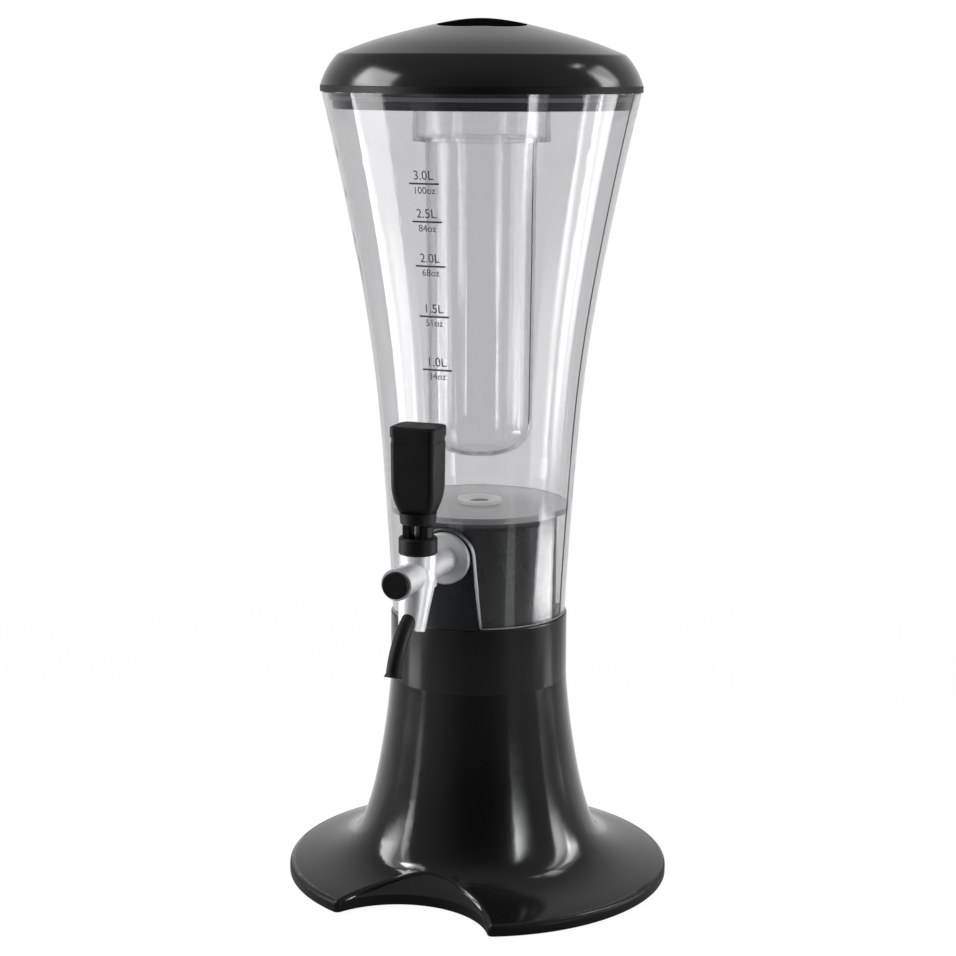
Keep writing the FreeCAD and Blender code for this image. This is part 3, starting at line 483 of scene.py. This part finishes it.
@dataclass
class Container:
    """The clear flared container: its walls are the frame's, and its print is made here."""
    side_mm: list[Point] = field(default_factory=lambda: [
        (59.2, 186.05), (61.3, 227.7), (64.2, 271.9), (67.4, 316.1), (72.0, 360.3), (78.6, 404.5),
        (86.7, 448.7), (95.7, 492.9), (105.6, 537.1)])
    marks: list[Volume] = field(default_factory=lambda: [
        Volume(481.5, "3.0L", "100oz"), Volume(457.4, "2.5L", "84oz"), Volume(428.9, "2.0L", "68oz"),
        Volume(396.2, "1.5L", "51oz"), Volume(361.1, "1.0L", "34oz")])
    bar_long_mm: float = 20.5
    bar_wide_mm: float = 1.1
    bar_steps: tuple[int, int] = (24, 2)
    litres_mm: float = 8.1
    litres_up_mm: float = 5.0
    ounces_mm: float = 6.2
    ounces_down_mm: float = 4.4
    print_turn_deg: float = -1.75
    ink_stands_mm: float = 0.024
    arch_low_mm: float = 187.2
    arch_centre_mm: float = 235.4
    arch_low_half_mm: float = 22.1
    arch_top_half_mm: float = 18.9
    arch_steps: int = 12
    lip_mm: float = 2.3
    lip_proud_mm: float = 0.1
    foot_high_mm: float = 186.7
    foot_lip_mm: float = 1.0
    foot_steps: int = 72
    lip_steps: int = 3

    def radius(self, height: float) -> float:
        """The outer radius at a height.

        Args:
            height: the height in millimetres.

        Returns:
            The radius in millimetres.
        """
        for (r0, z0), (r1, z1) in zip(self.side_mm, self.side_mm[1:]):
            if height <= z1:
                return r0 + (r1 - r0) * (height - z0) / (z1 - z0)
        return self.side_mm[-1][0]

    def dress(self) -> None:
        """Give the clear solids their finish."""
        dress_node("container_shell", Finish.CLEAR)
        dress_node("container_floor", Finish.CLEAR_FLOOR)
        dress_node("outlet_spigot", Finish.MILKY)

    def lay_on_side(self, mesh: bmesh.types.BMesh, height: float) -> None:
        """Bend a flat print, drawn about (0, 0) in millimetres, round the container's front.

        Args:
            mesh: the flat print in its X and Y.
            height: the height in millimetres of its middle.
        """
        for vertex in mesh.verts:
            across, up, thick = vertex.co
            z = height + up
            radius = self.radius(z) + self.ink_stands_mm + thick
            turn = across / self.radius(z) + math.radians(self.print_turn_deg)
            vertex.co = Vector((radius * math.sin(turn), -radius * math.cos(turn), z)) * MM

    def print_bar(self, mark: Volume, index: int) -> None:
        """Print one mark's bar.

        Args:
            mark: the mark.
            index: its number from the top, for the piece's name.
        """
        mesh = bmesh.new()
        along, across = self.bar_steps
        bmesh.ops.create_grid(mesh, x_segments=along, y_segments=across, size=HALF)
        bmesh.ops.scale(mesh, vec=(self.bar_long_mm, self.bar_wide_mm, 1.0), verts=mesh.verts)
        self.lay_on_side(mesh, mark.height_mm)
        place_piece(mesh, "mark_bar_%d" % index, Finish.INK, "container")

    def print_words(self, words: str, size: float, height: float, name: str) -> None:
        """Print a short word under or over a bar.

        Args:
            words: the word.
            size: its type size in millimetres.
            height: the height of its middle in millimetres.
            name: the piece's name.
        """
        curve = bpy.data.curves.new(name, "FONT")
        curve.body = words
        curve.size = size
        curve.align_x, curve.align_y = "CENTER", "CENTER"
        curve.extrude = 0.0
        text = bpy.data.objects.new(name, curve)
        bpy.context.scene.collection.objects.link(text)
        bpy.context.view_layer.update()
        flat = bpy.data.meshes.new_from_object(text)
        bpy.data.objects.remove(text)
        mesh = bmesh.new()
        mesh.from_mesh(flat)
        bpy.data.meshes.remove(flat)
        bmesh.ops.remove_doubles(mesh, verts=mesh.verts, dist=TEXT_MERGE_MM)
        self.lay_on_side(mesh, height)
        place_piece(mesh, name, Finish.INK, "container", smooth=False)

    def arch_path(self) -> list[Vector]:
        """The edge of the arch on the skirt's outer face, from the foot of one side to the other.

        Returns:
            Points in metres.
        """
        flat = []
        for step in range(self.arch_steps):
            share = step / (self.arch_steps - 1)
            half = self.arch_low_half_mm + (self.arch_top_half_mm - self.arch_low_half_mm) * share
            flat.append((half, self.arch_low_mm + (self.arch_centre_mm - self.arch_low_mm) * share))
        for step in range(1, self.arch_steps):
            turn = math.pi / 2 * step / (self.arch_steps - 1)
            flat.append((self.arch_top_half_mm * math.cos(turn),
                         self.arch_centre_mm + self.arch_top_half_mm * math.sin(turn)))
        flat += [(-across, high) for across, high in reversed(flat[:-1])]
        path = []
        for across, high in flat:
            radius = self.radius(high) + self.lip_proud_mm
            path.append(Vector((across, -math.sqrt(radius ** 2 - across ** 2), high)) * MM)
        return path

    def foot_path(self) -> list[Vector]:
        """The edge of the skirt's foot, from one side of the arch round the back to the other.

        Returns:
            Points in metres.
        """
        radius = self.radius(self.foot_high_mm)
        start = math.asin(self.arch_low_half_mm / radius)
        turns = [start + (math.tau - 2 * start) * step / self.foot_steps
                 for step in range(self.foot_steps + 1)]
        return [Vector((radius * math.sin(turn), -radius * math.cos(turn), self.foot_high_mm)) * MM
                for turn in turns]

    def lay_bead(self, name: str, path: list[Vector], wide_mm: float) -> None:
        """Lay a bead along an edge, coloured with painted highlight.

        Args:
            name: the piece's name.
            path: the edge's points in metres.
            wide_mm: the bead's width.
        """
        curve = bpy.data.curves.new(name, "CURVE")
        curve.dimensions = "3D"
        curve.bevel_depth = wide_mm / 2 * MM
        curve.bevel_resolution = self.lip_steps
        curve.use_fill_caps = True
        spline = curve.splines.new("POLY")
        spline.points.add(len(path) - 1)
        for point, place in zip(spline.points, path):
            point.co = (*place, 1.0)
        bead = bpy.data.objects.new(name, curve)
        bpy.context.scene.collection.objects.link(bead)
        bpy.context.view_layer.update()
        tube = bpy.data.meshes.new_from_object(bead)
        bpy.data.objects.remove(bead)
        mesh = bmesh.new()
        mesh.from_mesh(tube)
        bpy.data.meshes.remove(tube)
        bmesh.ops.remove_doubles(mesh, verts=mesh.verts, dist=MERGE_MM * MM)
        bmesh.ops.recalc_face_normals(mesh, faces=mesh.faces)
        place_piece(mesh, name, Finish.CLEAR_EDGE, "container")

    def build(self) -> None:
        """Dress the container, lay beads with painted highlight along its edges and print its volume marks.
        """
        self.dress()
        # both beads show a painted highlight in their colour, not a polish
        self.lay_bead("arch_lip", self.arch_path(), self.lip_mm)
        self.lay_bead("foot_lip", self.foot_path(), self.foot_lip_mm)
        for index, mark in enumerate(self.marks):
            self.print_bar(mark, index)
            self.print_words(mark.litres, self.litres_mm, mark.height_mm + self.litres_up_mm,
                             "mark_litres_%d" % index)
            self.print_words(mark.ounces, self.ounces_mm, mark.height_mm - self.ounces_down_mm,
                             "mark_ounces_%d" % index)


@dataclass
class Base:
    """The trumpet base, its sleeve, its pad and its cover."""

    def build(self) -> None:
        """Dress the base's solids."""
        dress_node("base_shell", Finish.GLOSS_BLACK)
        dress_node("stem_sleeve", Finish.SLEEVE_BLACK)
        dress_node("bottom_cover", Finish.INNER_BLACK)
        dress_node("anti_slip_pad", Finish.RUBBER)
        dress_node("bottom_screws", Finish.STEEL)


@dataclass
class Neck:
    """The black housing inside the clear skirt, and the drink's way through it."""

    def build(self) -> None:
        """Dress the neck's solids."""
        for node in ("neck_housing", "drink_elbow"):
            dress_node(node, Finish.INNER_BLACK)
        for node in ("neck_screws", "elbow_screws"):
            dress_node(node, Finish.STEEL)
        dress_node("spigot_seal", Finish.SILICONE)


@dataclass
class Tap:
    """The lever tap."""

    def build(self) -> None:
        """Dress the tap's solids."""
        for node in ("tap_body", "tap_shank", "shank_nut"):
            dress_node(node, Finish.CHROME)
        dress_node("tap_cover_plate", Finish.PLATE_GREY)
        dress_node("friction_washer", Finish.PLATE_GREY)
        for node in ("nozzle", "front_cap", "bonnet_collar", "lever_ferrule", "handle", "handle_cap"):
            dress_node(node, Finish.SATIN_BLACK)
        for node in ("lever", "valve_piston"):
            dress_node(node, Finish.STEEL)
        for node in ("shank_seal", "shank_washer", "piston_seal"):
            dress_node(node, Finish.RUBBER)


@dataclass
class Lid:
    """The domed lid with its plug, gasket and ice tube."""

    def build(self) -> None:
        """Dress the lid's solids and the ice tube."""
        dress_node("lid_shell", Finish.LID_BLACK)
        dress_node("lid_plug", Finish.INNER_BLACK)
        dress_node("lid_gasket", Finish.GREY_SEAL)
        dress_node("tube_seal", Finish.SILICONE)
        for node in ("ice_tube", "tube_collar"):
            dress_node(node, Finish.CLEAR_TUBE)


# ---- studio ---------------------------------------------------------------------------------

class Lights(Enum):
    """Which solids a lamp may light; the rest are flagged off."""
    CLEAR = "clear"
    SOLID = "solid"
    FLOOR = "floor"


class Stance(Enum):
    """How a lamp stands: beside the tower, on the table facing up, or over the tower facing down."""
    STANDING = "standing"
    LYING = "lying"
    HANGING = "hanging"


@dataclass(frozen=True)
class Softbox:
    """A soft lamp that stands beside the tower, lies on the table or hangs over the tower.

    Each stop is a place in metres with its radiance: a height for a standing lamp, and a reach out
    from the tower for a lying or hanging one, whose reach_m is then its height. Each side fades over
    the share of the width that soft gives.
    """
    name: str
    turn_deg: float
    reach_m: float
    wide_m: float
    stops: tuple[tuple[float, float], ...]
    lights: Lights = Lights.SOLID
    stance: Stance = Stance.STANDING
    soft: float = 0.12
    colour: str = "#FFFFFF"

    def shade(self, tree: bpy.types.NodeTree, peak: float) -> None:
        """Grade the lamp along its stops and let it fade towards its sides.

        Args:
            tree: the lamp's node tree.
            peak: the highest radiance of its stops.
        """
        tree.nodes.clear()
        place = add_node(tree, "ShaderNodeNewGeometry")
        parts = add_node(tree, "ShaderNodeSeparateXYZ", None, {0: place.outputs["Parametric"]})
        across, along = self.across_and_along(tree, parts)
        grade = add_node(tree, "ShaderNodeValToRGB", None, {0: along})
        start, end = self.stops[0][0], self.stops[-1][0]
        set_stops(grade.color_ramp, [((reach - start) / (end - start), grey(radiance / peak))
                                     for reach, radiance in self.stops])
        aside = maths(tree, "ABSOLUTE", maths(tree, "SUBTRACT", across, HALF))
        fade = add_node(tree, "ShaderNodeMapRange",
                        {"From Min": HALF, "From Max": HALF - self.soft, "To Min": 0.0, "To Max": 1.0,
                         "interpolation_type": "SMOOTHSTEP"}, {"Value": aside})
        level = maths(tree, "MULTIPLY", grade.outputs[0], fade.outputs[0])
        glow = add_node(tree, "ShaderNodeEmission", {"Color": linear(self.colour)}, {"Strength": level})
        add_node(tree, "ShaderNodeOutputLight", None, {"Surface": glow.outputs[0]})

    def across_and_along(self, tree: bpy.types.NodeTree,
                         parts: bpy.types.Node) -> tuple[bpy.types.NodeSocket, bpy.types.NodeSocket]:
        """The place on the lamp's face, each way from 0 to 1.

        Args:
            tree: the lamp's node tree.
            parts: the node that splits the face's own coordinates.

        Returns:
            The sockets across and along the lamp.
        """
        both = maths(tree, "ADD", parts.outputs["X"], parts.outputs["Y"])
        return parts.outputs["Y"], maths(tree, "SUBTRACT", 1.0, both)

    def flag_off(self, lamp: bpy.types.Object) -> None:
        """Keep the lamp from the solids that it isn't meant for.

        Args:
            lamp: the lamp.
        """
        group = bpy.data.collections.new("%s_flags" % self.name)
        for node in FLOOR_NODES if self.lights is Lights.FLOOR else CLEAR_NODES:
            group.objects.link(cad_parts[node])
        if self.lights is Lights.FLOOR:
            lamp.light_linking.blocker_collection = group
        if self.lights is Lights.SOLID:
            for member in group.collection_objects:
                member.light_linking.link_state = "EXCLUDE"
        lamp.light_linking.receiver_collection = group

    def build(self) -> None:
        """Set the lamp up, facing the tower's axis, up where it lies and down where it hangs."""
        turn = math.radians(self.turn_deg)
        outward = Vector((math.sin(turn), -math.cos(turn), 0.0))
        start, end = self.stops[0][0], self.stops[-1][0]
        peak = max(radiance for _, radiance in self.stops)
        light = bpy.data.lights.new(self.name, "AREA")
        light.shape = "RECTANGLE"
        light.size, light.size_y = self.wide_m, end - start
        light.energy = peak * math.pi * self.wide_m * (end - start)
        light.use_nodes = True
        self.shade(light.node_tree, peak)
        lamp = bpy.data.objects.new(self.name, light)
        bpy.context.scene.collection.objects.link(lamp)
        middle = (start + end) / 2
        if self.stance is Stance.STANDING:
            lamp.location = outward * self.reach_m + Vector((0.0, 0.0, middle))
            lamp.rotation_euler = (-outward).to_track_quat("-Z", "Y").to_euler()
        else:
            lamp.location = outward * middle + Vector((0.0, 0.0, self.reach_m))
            lamp.rotation_euler = (math.pi if self.stance is Stance.LYING else 0.0, 0.0, turn)
        lamp.visible_camera = False
        self.flag_off(lamp)
        log.info("lit %s", self.name)


@dataclass
class Studio:
    """The camera, the pale floor, the backdrop and the lamps.

    The floor is shaded near the tower and turns plain white between shade_ends_m. Reflections see it as
    bright as the room in the same direction, and brighter by patch_glow near the tower, which fades out
    between patch_ends_m. The room's stops run from its dim side in front of the tower to its bright side
    behind it.
    """
    turn_deg: float = 21.0
    reach_m: float = 1.46
    high_m: float = 0.5575
    pitch_deg: float = 10.85
    roll: float = 0.0055
    focal_px: float = 2178.0
    image_px: float = 956.0
    off_centre_px: float = 1.6
    floor_m: float = 40.0
    floor_glow: float = 0.9
    floor_colour: str = "#6A6A6A"
    clip_m: float = 100.0
    sensor_mm: float = 36.0
    patch_glow: float = 0.15
    patch_ends_m: tuple[float, float] = (0.5, 0.76)
    shade_ends_m: tuple[float, float] = (0.35, 0.9)
    soft_light: float = 0.35
    late_light: float = 0.18
    room: list[Point] = field(default_factory=lambda: [
        (0.0, 0.03), (0.02, 0.04), (0.15, 0.2), (0.3, 0.28), (0.72, 0.32), (0.87, 0.52), (1.0, 0.78)])
    lamps: list[Softbox] = field(default_factory=lambda: [
        Softbox("box_right", 120.5, 0.62, 0.17,
                ((0.06, 1.0), (0.1, 4.5), (0.2, 5.5), (0.27, 8.5), (0.5, 9.5), (0.58, 21.0), (0.72, 20.0),
                 (0.76, 4.0))),
        Softbox("box_right_front", 106.0, 0.62, 0.16,
                ((0.035, 1.0), (0.05, 4.5), (0.08, 4.0), (0.2, 4.5), (0.3, 7.0), (0.6, 7.5), (0.68, 4.0))),
        Softbox("box_right_high", 122.0, 0.62, 0.22, ((0.7, 3.0), (0.78, 6.0), (1.02, 6.0)), soft=0.2),
        Softbox("box_left", -66.5, 0.62, 0.29,
                ((0.06, 1.5), (0.1, 4.5), (0.2, 5.5), (0.27, 8.5), (0.6, 9.0), (0.7, 6.0))),
        Softbox("box_left_front", -50.0, 0.62, 0.08, ((0.04, 1.5), (0.1, 4.0), (0.2, 5.5), (0.5, 7.0))),
        Softbox("box_left_foot", -47.0, 0.63, 0.26, ((0.42, 4.0), (0.5, 26.0), (0.68, 28.0)), soft=0.3),
        Softbox("box_left_high", -62.0, 0.62, 0.38, ((0.72, 6.0), (0.84, 8.5), (1.06, 8.5)), soft=0.2),
        Softbox("box_front", 70.0, 0.8, 0.36,
                ((0.06, 0.05), (0.13, 0.25), (0.17, 0.7), (0.19, 1.4), (0.235, 3.0), (0.31, 8.5),
                 (0.42, 15.0), (0.66, 26.0)),
                soft=0.35, colour="#F6FFFA"),
        Softbox("box_small", 112.0, 0.62, 0.09, ((1.1, 7.0), (1.18, 7.0))),
        Softbox("table_right", 120.5, 0.004, 0.13,
                ((0.45, 2.0), (0.5, 2.0), (0.53, 0.5), (0.6, 0.5), (0.62, 11.0), (0.67, 11.0), (0.68, 0.3)),
                stance=Stance.LYING),
        Softbox("table_left", -67.0, 0.004, 0.21, ((0.5, 3.4), (0.63, 3.4), (0.66, 0.3)),
                stance=Stance.LYING),
        Softbox("floor_lamp", 0.0, 1.2, 0.4, ((-0.2, 13.5), (0.2, 13.5)), Lights.FLOOR,
                Stance.HANGING),
        Softbox("shell_right", 120.0, 0.63, 0.2,
                ((0.08, 4.0), (0.2, 2.6), (0.27, 5.0), (0.34, 8.0), (0.62, 8.0)), Lights.CLEAR, soft=0.3),
        Softbox("shell_right_front", 105.0, 0.63, 0.18,
                ((0.1, 1.5), (0.25, 1.5), (0.34, 5.0), (0.62, 5.0)), Lights.CLEAR, soft=0.3),
        Softbox("shell_left", -66.5, 0.63, 0.34,
                ((0.02, 3.0), (0.2, 2.6), (0.27, 5.0), (0.34, 9.0), (0.66, 9.0)), Lights.CLEAR, soft=0.35),
        Softbox("shell_front", 61.5, 0.81, 0.2, ((0.1, 0.8), (0.25, 1.0), (0.35, 8.0), (0.62, 10.0)),
                Lights.CLEAR, soft=0.25),
        Softbox("shell_front_left", -19.0, 0.63, 0.18, ((0.3, 2.0), (0.34, 5.0), (0.56, 5.0)),
                Lights.CLEAR, soft=0.25),
        Softbox("skirt_right", 114.5, 0.006, 0.38, ((0.5, 6.5), (0.8, 6.5), (0.95, 4.0)), Lights.CLEAR,
                Stance.LYING, 0.4),
        Softbox("skirt_front", 61.0, 0.006, 0.13, ((0.4, 0.7), (0.9, 0.7)), Lights.CLEAR, Stance.LYING, 0.4,
                "#F6FFFA"),
    ])

    def set_camera(self) -> None:
        """Place the camera."""
        data = bpy.data.cameras.new("camera")
        data.sensor_fit = "HORIZONTAL"
        data.sensor_width = self.sensor_mm
        data.lens = self.sensor_mm * self.focal_px / self.image_px
        data.shift_x = -self.off_centre_px / self.image_px
        data.clip_end = self.clip_m
        camera = bpy.data.objects.new("camera", data)
        bpy.context.scene.collection.objects.link(camera)
        turn = math.radians(self.turn_deg)
        stand = Vector((self.reach_m * math.sin(turn), -self.reach_m * math.cos(turn), self.high_m))
        aim = Matrix.Rotation(turn, 4, "Z") @ Matrix.Rotation(math.radians(90 - self.pitch_deg), 4, "X")
        camera.matrix_world = Matrix.Translation(stand) @ aim @ Matrix.Rotation(self.roll, 4, "Z")
        bpy.context.scene.camera = camera

    def lay_floor(self) -> None:
        """Lay the pale floor."""
        mesh = bmesh.new()
        bmesh.ops.create_grid(mesh, x_segments=1, y_segments=1, size=self.floor_m)
        data = bpy.data.meshes.new("floor")
        mesh.to_mesh(data)
        mesh.free()
        floor = bpy.data.objects.new("floor", data)
        bpy.context.scene.collection.objects.link(floor)
        data.materials.append(self.floor_material())

    def floor_material(self) -> bpy.types.Material:
        """A floor that shines white to the eye and still takes the tower's shadow.

        Returns:
            The material.
        """
        material, tree = new_material("pale_floor")
        place = add_node(tree, "ShaderNodeTexCoord")
        out = add_node(tree, "ShaderNodeVectorMath", {"operation": "LENGTH"}, {0: place.outputs["Object"]})
        far = add_node(tree, "ShaderNodeMapRange",
                       {"From Min": self.shade_ends_m[0], "From Max": self.shade_ends_m[1],
                        "interpolation_type": "SMOOTHSTEP"}, {"Value": out.outputs["Value"]})
        patch = add_node(tree, "ShaderNodeMapRange",
                         {"From Min": self.patch_ends_m[0], "From Max": self.patch_ends_m[1],
                          "To Min": self.patch_glow, "To Max": 0.0, "interpolation_type": "SMOOTHSTEP"},
                         {"Value": out.outputs["Value"]})
        table = maths(tree, "ADD", self.room_light(tree, place.outputs["Object"]), patch.outputs[0])
        plain, glossy, late = self.sort_rays(tree)
        glow = blend(tree, glossy, 0.0, maths(tree, "MAXIMUM", table, late))
        glow = blend(tree, plain, glow, self.floor_glow)
        shine = add_node(tree, "ShaderNodeEmission", {"Color": grey(1.0)}, {"Strength": glow})
        soft = add_node(tree, "ShaderNodeBsdfDiffuse", {"Color": linear(self.floor_colour)})
        near = add_node(tree, "ShaderNodeAddShader", None, {0: shine.outputs[0], 1: soft.outputs[0]})
        white = add_node(tree, "ShaderNodeEmission", {"Color": grey(1.0), "Strength": 1.0})
        clear = maths(tree, "MULTIPLY", far.outputs[0], plain)
        both = add_node(tree, "ShaderNodeMixShader", None,
                        {0: clear, 1: near.outputs[0], 2: white.outputs[0]})
        add_node(tree, "ShaderNodeOutputMaterial", None, {"Surface": both.outputs[0]})
        return material

    def sort_rays(self, tree: bpy.types.NodeTree) -> tuple[bpy.types.NodeSocket, ...]:
        """Tell the rays that look straight at the white room from those that a gloss sends there.

        Args:
            tree: the node tree.

        Returns:
            The socket that is 1 for a straight look, through clear plastic too, the socket that is 1
            for a reflection, also where it comes out through clear plastic, and the least brightness
            that such a late reflection meets.
        """
        rays = add_node(tree, "ShaderNodeLightPath").outputs
        sent = maths(tree, "GREATER_THAN", rays["Glossy Depth"], HALF)
        fresh = maths(tree, "SUBTRACT", 1.0, sent)
        through = maths(tree, "MULTIPLY", rays["Is Transmission Ray"], fresh)
        plain = maths(tree, "MAXIMUM", rays["Is Camera Ray"], through)
        late = maths(tree, "MULTIPLY", rays["Is Transmission Ray"], sent)
        glossy = maths(tree, "MAXIMUM", rays["Is Glossy Ray"], late)
        return plain, glossy, maths(tree, "MULTIPLY", late, self.late_light)

    def room_light(self, tree: bpy.types.NodeTree, place: bpy.types.NodeSocket) -> bpy.types.NodeSocket:
        """How bright the room is in a direction: bright behind the tower and dim in front of it.

        Args:
            tree: the node tree.
            place: the socket of the direction, or of a place seen from the tower's foot.

        Returns:
            The socket of the brightness.
        """
        turn = math.radians(self.turn_deg)
        way = add_node(tree, "ShaderNodeVectorMath", {"operation": "NORMALIZE"}, {0: place})
        behind = add_node(tree, "ShaderNodeVectorMath",
                          {"operation": "DOT_PRODUCT", 1: (-math.sin(turn), math.cos(turn), 0.0)},
                          {0: way.outputs["Vector"]})
        turned = add_node(tree, "ShaderNodeMapRange", {"From Min": -1.0, "From Max": 1.0},
                          {"Value": behind.outputs["Value"]})
        bright = add_node(tree, "ShaderNodeValToRGB", None, {0: turned.outputs[0]})
        set_stops(bright.color_ramp, [(share, grey(level)) for share, level in self.room])
        return bright.outputs[0]

    def hang_backdrop(self) -> None:
        """Light the room: white behind the tower, dim in front of it, and softly from above."""
        world = bpy.data.worlds.new("studio")
        bpy.context.scene.world = world
        world.use_nodes = True
        tree = world.node_tree
        tree.nodes.clear()
        place = add_node(tree, "ShaderNodeTexCoord")
        room = self.room_light(tree, place.outputs["Generated"])
        plain, glossy, late = self.sort_rays(tree)
        level = blend(tree, glossy, self.soft_light, maths(tree, "MAXIMUM", room, late))
        level = blend(tree, plain, level, 1.0)
        sky = add_node(tree, "ShaderNodeBackground", {"Color": grey(1.0)}, {"Strength": level})
        add_node(tree, "ShaderNodeOutputWorld", None, {"Surface": sky.outputs[0]})

    def build(self) -> None:
        """Set the whole studio up."""
        bpy.context.scene.view_settings.view_transform = "Standard"
        self.set_camera()
        self.lay_floor()
        self.hang_backdrop()
        for lamp in self.lamps:
            lamp.build()


def main() -> None:
    """Build every sub-assembly of the tower in the studio."""
    logging.basicConfig(level=logging.INFO, format="%(message)s")
    Studio().build()
    Base().build()
    Neck().build()
    Tap().build()
    Container().build()
    Lid().build()


if __name__ == "__main__":
    main()
